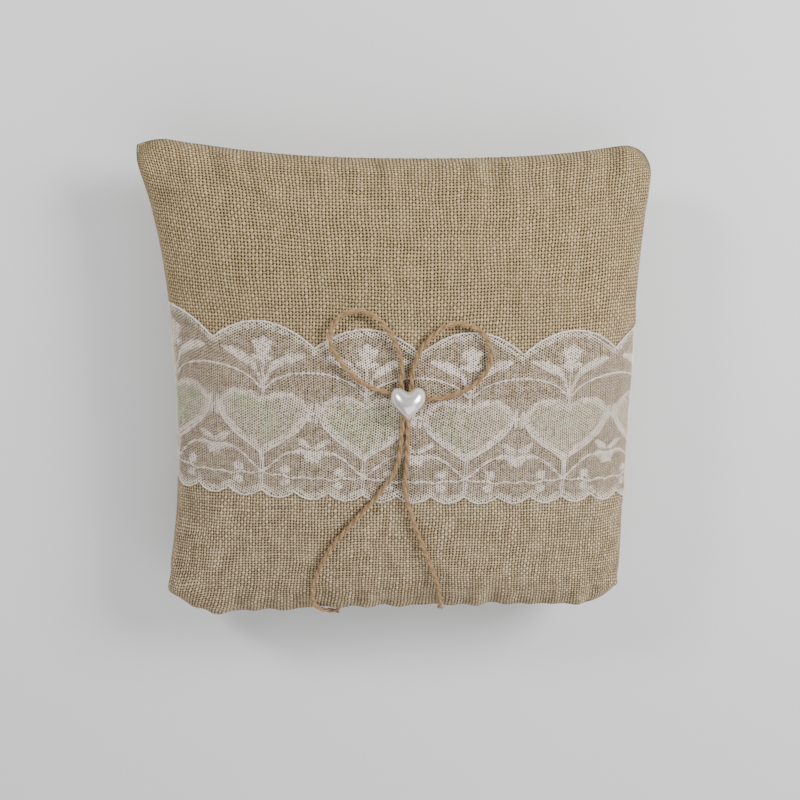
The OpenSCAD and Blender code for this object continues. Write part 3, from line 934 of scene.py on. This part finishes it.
def net_cells():
    """Corner numbers of each hexagonal cell, the corners' places, and which lie inside."""
    wales = np.arange(-int(LACE_HALF / NET_ROW) - 4, int(LACE_HALF / NET_ROW) + 5)
    courses = np.arange(int((LACE_BOTTOM - SMALL_SCALLOP) / NET_PITCH) - 1,
                        int((LACE_TOP + LARGE_SCALLOP) / NET_PITCH) + 2)
    wale, course = (a.ravel() for a in np.meshgrid(wales, courses, indexing="ij"))
    step = np.array([NET_ROW / 3, NET_PITCH / 2])
    key = np.column_stack([3 * wale, 2 * course + wale % 2])
    x, y = (key * step).T
    inside_ends = np.abs(lace_to_cloth(key * step)[:, 0]) < LACE_HALF
    key = key[inside_ends & (y < lace_high(x)) & (y > lace_low(x))]
    keys = (key[:, None] + CELL_CORNERS).reshape(-1, 2)
    found, corner, uses = np.unique(keys, axis=0, return_inverse=True, return_counts=True)
    return corner.reshape(-1, len(CELL_CORNERS)), found * step, uses == 3


def corners_then_rims(values, corner, count):
    """One value a cell, spread to the net's points. A corner takes its cells' greatest."""
    shared = np.zeros(count)
    each = np.repeat(values, len(CELL_CORNERS))
    np.maximum.at(shared, corner.ravel(), each)
    return np.concatenate([shared, each])


def lace_net(cloth):
    """The net: one ring of thread for each hexagonal cell, joined along their corners."""
    corner, flat, inner = net_cells()
    random = np.random.default_rng(5)
    flat[inner] += random.normal(0, NET_JITTER, (inner.sum(), 2))
    # The columns of cells wander a little
    drift = 0.4 * np.sin(flat[:, 1] / 5.5 + 1) + 0.3 * np.sin(flat[:, 0] / 9 + flat[:, 1] / 3.1)
    flat[:, 0] += np.where(inner, drift, 0)
    for edge in (lace_high(flat[:, 0]), lace_low(flat[:, 0])):
        on_edge = ~inner & (np.abs(flat[:, 1] - edge) < NET_PITCH)
        flat[on_edge, 1] = edge[on_edge]

    middle = flat[corner].mean(axis=1)
    cover, shimmer = lace_pattern(middle)
    uneven = random.uniform(-NET_UNEVEN, NET_UNEVEN, len(cover)) * cover * (1 - cover)
    hole = np.sqrt(1 - cover - uneven)[:, None, None]
    rim = (middle[:, None] + hole * (flat[corner] - middle[:, None])).reshape(-1, 2)
    rim_index = len(flat) + np.arange(len(rim)).reshape(corner.shape)
    quads = np.stack([corner, np.roll(corner, -1, 1), np.roll(rim_index, -1, 1), rim_index], -1)
    quads = quads.reshape(-1, 4)
    places = np.vstack([flat, rim])
    height = LACE_GAP + NET_RIDGE * (np.arange(len(places)) < len(flat))
    net = mesh_object("lace_net", on_cloth(cloth, places, height), quads.tolist())
    dense = (cover - NET_COVER) / (DENSE_COVER - NET_COVER)
    give_attribute(net, "shimmer", corners_then_rims(shimmer, corner, len(flat)))
    give_attribute(net, "dense", corners_then_rims(dense, corner, len(flat)))
    a, b, c, d = (places[quads[:, k]] for k in range(4))
    area = 0.5 * np.abs(np.cross(c - a, d - b)).sum() * MM ** 2
    return net, float(area)


def lace_cord_routes():
    """Routes of the raised outline threads, with each one's radius beside the thickest."""
    x = np.arange(-LACE_HALF - 2, LACE_HALF + 2, 0.5)
    routes = [(np.column_stack([x, lace_high(x)]), TOP_CORD),
              (np.column_stack([x, lace_low(x)]), BOTTOM_CORD)]
    for repeat in range(-3, 3):
        middle = LACE_SHIFT + LACE_REPEAT * (repeat + 0.5)
        for line, radius in OUTLINED:
            for side in (1, -1):
                line_x, line_y = smooth_path(line, 0.35).T
                routes.append((np.column_stack([middle + side * line_x, line_y]), radius))
    return routes


def lace_cords(cloth):
    """Outline threads, knotted into the net at every stitch."""
    random = np.random.default_rng(8)
    meshes = []
    for route, radius in lace_cord_routes():
        route = route[np.abs(lace_to_cloth(route)[:, 0]) < LACE_HALF]
        if len(route) < 3:
            continue
        beat = np.cos(2 * np.pi * run_along(route) / LACE_STITCH)
        route = route + random.normal(0, CORD_JITTER, route.shape)
        radius = radius * LACE_CORD_R * (1 + STITCH_SWELL * beat)
        path = on_cloth(cloth, route, LACE_GAP + radius / 4)
        meshes.append(tube_mesh(path, radius, 5))
    return joined_object("lace_cords", meshes)


# ---- twine
PLY_R = 0.58 * MM
PLY_OFFSET = 0.45 * MM  # from the middle of the twine to the middle of a ply
TWIST = 9.0 * MM  # length of one full turn of the two plies
FIBRE_TURN = 4  # radians that the fibres turn in a ply, for each twist
PLY_APART = 40  # keeps the second ply's markings unlike the first's
FRAY_START = 0.975  # share of a tail where its plies start to spread
FRAY_SPREAD = 0.9
FIBRES_PER_MM = 0.9
FIBRE_MM = 1.4  # length of the longest loose fibres
TUFT_MM = 1.3  # and at a tail's cut end
TUFT_FIBRES = 26
FIBRE_R_MM = (0.02, 0.035)
FIBRE_LEAN = 1.2  # how far a loose fibre leans along the twine
FIBRE_BEND = 0.25
PATH_STEP = 0.45 * MM
TWINE_LIFT = LACE_GAP + 0.4 * MM + TWINE_D / 2


def twine_mesh(meshes, strand, path, fray_start, closed, sides=8):
    """Adds two twisted plies along a path. Past fray_start, a share of it, they spread."""
    run = run_along(path)
    _, across, up = path_frames(path, closed)
    total = run[-1] + (np.linalg.norm(path[0] - path[-1]) if closed else 0)
    turns = max(1, round(total / TWIST))
    share = run / total
    frayed = np.clip((share - fray_start) / max(1 - fray_start, 1e-6), 0, 1)
    for phase in (0, math.pi):
        turn = (2 * np.pi * turns * share + phase)[:, None]
        apart = PLY_OFFSET * (1 + FRAY_SPREAD * frayed)[:, None]
        offset = apart * (np.cos(turn) * across + np.sin(turn) * up)
        meshes.append(tube_mesh(path + offset, PLY_R, sides, closed))
        angle = 2 * np.pi * np.arange(sides) / sides + run[:, None] / TWIST * FIBRE_TURN + phase
        along = np.repeat(run / MM + phase * PLY_APART, sides)
        strand.append(np.column_stack([along, np.cos(angle).ravel(), np.sin(angle).ravel()]))


def add_fibres(meshes, strand, path, count, seed, reach_mm):
    """Loose fibres that stand out of the twine."""
    random = np.random.default_rng(seed)
    along, across, up = path_frames(path)
    t = np.linspace(0, 1, 5)[:, None]
    for _ in range(count):
        k = random.integers(len(path))
        angle = random.uniform(0, 2 * math.pi)
        out = math.cos(angle) * across[k] + abs(math.sin(angle)) * up[k]
        ahead = along[k] * random.uniform(-1, 1) * FIBRE_LEAN
        length = random.uniform(0.5, 1.0) * reach_mm * MM
        bend = random.normal(0, FIBRE_BEND, 3) * length
        fibre = path[k] + out * 0.9 * PLY_OFFSET + t * length * unit(out + ahead) + t ** 2 * bend
        meshes.append(tube_mesh(fibre, random.uniform(*FIBRE_R_MM) * MM, 3))
        strand.append(np.tile([k / 2, 1, 0], (len(meshes[-1][0]), 1)))


def twine_path(cloth, before, route, after, rise):
    """Path of a piece of twine that lies on the cloth. It stands off by rise in its middle."""
    xy = np.array([*before, *route, *after], float)
    under = cloth.under(xy)
    share = np.linspace(0, 1, len(xy))
    height = TWINE_LIFT + rise * MM * np.sin(np.pi * share)
    return smooth_path(cloth.lift(under[:, 0], under[:, 1], height), PATH_STEP)


def twine_piece(name, path, seed=0, frayed=False, closed=False):
    """Twine with its loose fibres. A closed one, which is a knot, has none."""
    meshes, strand = [], []
    twine_mesh(meshes, strand, path, FRAY_START if frayed else 1.0, closed)
    if not closed:
        fibres = int(path_length(path) / MM * FIBRES_PER_MM)
        add_fibres(meshes, strand, path, fibres, seed, FIBRE_MM)
    if frayed:
        add_fibres(meshes, strand, path[-4:], TUFT_FIBRES, seed + 50, TUFT_MM)
    piece = joined_object(name, meshes)
    give_attribute(piece, "strand", np.vstack(strand))
    return piece


def knot_path(low, high):
    """An overhand knot in the box of the CAD knot's round body."""
    turns = np.linspace(0, 2 * math.pi, 120, endpoint=False)
    scale = (KNOT_R - TWINE_D / 2) / 3
    return np.column_stack([
        BOW.x + scale * (np.sin(turns) + 2 * np.sin(2 * turns)),
        BOW.y + scale * (np.cos(turns) - 2 * np.cos(2 * turns)),
        (low.z + high.z) / 2 - KNOT_RISE * np.sin(3 * turns)])


# ---- the heart bead
CROWN_R = 0.42  # radius of the round rings near the bead's crown, beside the bead's size
BEAD_RINGS = 36
BEAD_STEPS = 160
CROWN_BLEND = 1.5  # how soon the rings turn from round to heart-shaped


def heart_bead():
    """Puffed heart with a flat back, on the same curves as the CAD bead."""
    rings, steps = BEAD_RINGS, BEAD_STEPS
    t = 2 * np.pi * np.arange(steps) / steps
    heart_x = 0.375 * np.sin(t) ** 3 + 0.125 * np.sin(t)
    heart_y = (13 * np.cos(t) - 5 * np.cos(2 * t) - 2 * np.cos(3 * t) - np.cos(4 * t) + 2.5) / 29
    from_top = np.minimum(t, 2 * np.pi - t)
    heart_y += NOTCH_FILL * np.exp(-(from_top / NOTCH_ANGLE) ** 2)
    middle = np.array([BOW.x, BOW.y + BEAD_RISE, bead_low.z])
    points = [middle + [0, 0, BEAD_T]]
    for k in range(1, rings + 1):
        q = math.sin(math.pi / 2 * k / rings)
        share = q ** CROWN_BLEND
        round_x = (1 - share) * CROWN_R * np.sin(t)
        round_y = (1 - share) * CROWN_R * np.cos(t)
        height = np.full(steps, BEAD_T * math.cos(math.pi / 2 * k / rings))
        ring = np.column_stack([-q * BEAD_WIDE * (share * heart_x + round_x),
                                q * BEAD_HIGH * (share * heart_y + round_y), height])
        points.extend(middle + ring)
    points.append(middle)
    faces = [(0, 1 + k, 1 + (k + 1) % steps) for k in range(steps)]
    faces += [(1 + a, 1 + d, 1 + c, 1 + b) for a, b, c, d in ring_faces(rings, steps)]
    last = 1 + (rings - 1) * steps
    faces.extend((last + k, len(points) - 1, last + (k + 1) % steps) for k in range(steps))
    return mesh_object("pearl_heart", points, faces)


# ---- seams and stitches
SEAM_STITCH = 2.6 * MM
SEAM_INSET = 0.55 * MM
SEAM_SWAY = 0.12 * MM  # how far each stitch draws the thread in and lets it out
SEAM_R_MM = 0.26
SEAM_SWELL_MM = 0.05
CLOSING_STITCHES = 16
CLOSING_PITCH = 5 * MM
CLOSING_SLANT = 0.9 * MM
CLOSING_DEEP = 1.1 * MM  # from the edge to the middle of a closing stitch
CLOSING_WIDE = 1.2 * MM  # half its size across the edge
CLOSING_HIGH = 0.85 * MM  # half its height
CLOSING_R = 0.15 * MM


def seam_thread(line, inward):
    """Sewing thread in the groove between the two panels, drawn in at every stitch."""
    stitch = np.cos(2 * np.pi * run_along(line) / SEAM_STITCH)
    path = line + inward * (SEAM_INSET + SEAM_SWAY * stitch)[:, None]
    radius = (SEAM_R_MM + SEAM_SWELL_MM * stitch) * MM
    return mesh_object("seam_thread", *tube_mesh(path, radius, 6, closed=True))


def closing_stitch_piece(line, inward):
    """Slanting hand stitches over the top edge, round the middle of it."""
    meshes = []
    over_gap = np.abs(line[:, 0]) < CLOSING_STITCHES * CLOSING_PITCH
    top_edge = np.flatnonzero((inward[:, 1] < -0.9) & over_gap)
    top_edge = top_edge[np.argsort(line[top_edge, 0])]
    turn = np.linspace(0, 2 * np.pi, 28, endpoint=False)
    for k in range(CLOSING_STITCHES):
        x = (k - (CLOSING_STITCHES - 1) / 2) * CLOSING_PITCH
        y, z = (np.interp(x, line[top_edge, 0], line[top_edge, axis]) for axis in (1, 2))
        ring = np.column_stack([x + CLOSING_SLANT * np.sin(turn),
                                y - CLOSING_DEEP + CLOSING_WIDE * np.cos(turn),
                                z + CLOSING_HIGH * np.sin(turn)])
        meshes.append(tube_mesh(ring, CLOSING_R, 6, closed=True))
    return joined_object("closing_stitch_thread", meshes)


# ---- inside the cover
LINING_INSET_MM = 9
LINING_DEPTH_MM = 1.7
LINING_SEAM_R = 0.2 * MM
FILL_INSET_MM = 1.5  # how far inside the lining the filling ends
FILL_DEPTH_MM = 0.6
INNER_STEPS = 64
INNER_CURVE = 6  # how late the inner sheets close towards their edges


def inner_sheets(inset_mm, depth_mm):
    """Smaller copies of the unbent sheets, pushed in from them and closed along the seam."""
    half = FLAT_HALF / MM - inset_mm
    fx, fy = square_grid(half, INNER_STEPS)
    close = np.sqrt((1 - np.abs(fx / half) ** INNER_CURVE) * (1 - np.abs(fy / half) ** INNER_CURVE))
    sheets = []
    for sheet, side in zip(flat_sheets, (1, -1)):
        outer = Surface(sheet)
        points = outer.sample(outer.grid, fx, fy)
        points[..., 2] = close * (points[..., 2] - side * depth_mm * MM)
        points = bend_corners(points)
        points[..., 2] += SEAM_Z
        sheets.append(points)
    return sheets


def dress(piece, node, material, body="cushion"):
    """Hands a finished piece over: what it rides on, what it stands for, and its material."""
    piece.data.materials.append(material)
    if body:
        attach(piece, body)
    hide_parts(node)


# ---- making it all
make_camera()
make_studio()

CLOTH_STEPS = 90
FINER = 3  # the settled cloth's cells are split by this
flat_sheets = plump_sheets(CLOTH_STEPS)
flat_sheets = settle_cloth(*flat_sheets, CLOTH_STEPS)
flat_sheets = fit_to_frame(*[s.copy() for s in flat_sheets])
front_grid, back_grid = (finer(bend_corners(s.copy()), FINER) for s in flat_sheets)
for grid in (front_grid, back_grid):
    grid[..., 2] += SEAM_Z
front_cloth, back_cloth = Surface(front_grid), Surface(back_grid)

# The bow: four pieces of twine that leave the knot under the bead. For each: its way out from
# under the bead, its route, its way back in, and how far its middle stands off, in millimetres.
BOW_ENDS = {
    "left_loop": ([(-2.1, 3.6), (-3, 6.4)], LEFT_LOOP, [(-6.2, 4.4), (-3, 2.9)], 1.1),
    "right_loop": ([(-0.4, 3.6), (0.2, 6.6)], RIGHT_LOOP, [(4.6, 2.6), (1.2, 1.9)], 0.9),
    "left_tail": ([(-2.2, 0), (-2.6, -3)], LEFT_TAIL, [], 0.1),
    "right_tail": ([(-0.4, 0), (-0.6, -3)], RIGHT_TAIL, [], 0.1)}
# Each one's hinge is read from the record, with the side of it that the twine's middle lies on
twine_looks = twine_material()
hinges = {joint["child"]: joint for joint in frame["record"]["behaviour"]["joints"]}
for seed, (name, routes) in enumerate(BOW_ENDS.items()):
    tail = name.endswith("tail")
    path = twine_path(front_cloth, *routes)
    piece = twine_piece("twine_" + name, path, seed, frayed=tail)
    dress(piece, name, twine_looks, body=None)
    hinge = Vector(hinges["bow_" + name]["pos_m"])
    outward = Vector(hinges["bow_" + name]["axis"]).cross(Vector((0, 0, 1))).normalized()
    if outward.dot(Vector(path[len(path) // 2]) - hinge) < 0:
        outward = -outward
    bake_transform(piece)
knot = twine_piece("twine_knot", knot_path(knot_low, knot_high), closed=True)
dress(knot, "bow_knot", twine_looks)
dress(heart_bead(), "heart_bead", pearl_material())

# The cover
front_panel, seam_line, seam_inward = cloth_panel("burlap_front", front_cloth, 1)
back_panel, _, _ = cloth_panel("burlap_back", back_cloth, -1)
dress(front_panel, "front_panel", burlap_material("burlap_front", 0))
dress(back_panel, "back_panel", burlap_material("burlap_back", 0.12))
sewing_thread = thread_material("sewing_thread", (0.34, 0.25, 0.15), (0.56, 0.45, 0.31))
dress(seam_thread(seam_line, seam_inward), "perimeter_seam", sewing_thread)
dress(closing_stitch_piece(seam_line, seam_inward), "closing_stitches",
      sewing_thread)

# The lace
net, net_area = lace_net(front_cloth)
dress(net, "lace_band", lace_material())
cords = lace_cords(front_cloth)
dress(cords, "lace_band", lace_cord_material())

# Inside the cover
lining_sheets = inner_sheets(LINING_INSET_MM, LINING_DEPTH_MM)
lining_looks = cotton_material()
for name, sheet, side in zip(("front", "back"), lining_sheets, (1, -1)):
    index = np.arange(sheet[..., 0].size).reshape(sheet.shape[:2])
    bag = mesh_object("lining_" + name, sheet.reshape(-1, 3), sheet_faces(index, side))
    dress(bag, "inner_bag_" + name, lining_looks)
bag_edge = np.array([lining_sheets[0][place] for place in edge_order(len(lining_sheets[0]) - 1)])
bag_seam = mesh_object("lining_seam", *tube_mesh(bag_edge, LINING_SEAM_R, 6, closed=True))
dress(bag_seam, "inner_bag_seam",
      thread_material("lining_thread", (0.60, 0.56, 0.48), (0.78, 0.74, 0.66)))
fill_sheets = inner_sheets(LINING_INSET_MM + FILL_INSET_MM, LINING_DEPTH_MM + FILL_DEPTH_MM)
fibre_fill = mesh_object("fibre_fill", *sewn_sheets(*fill_sheets)[:2])
dress(fibre_fill, "filling", fibrefill_material())

# CAD pieces that are shown as they are
for name, material in (("bow_tack", sewing_thread), ("bead_glue", glue_material())):
    for slot in frame["nodes"][name].material_slots:
        slot.material = material
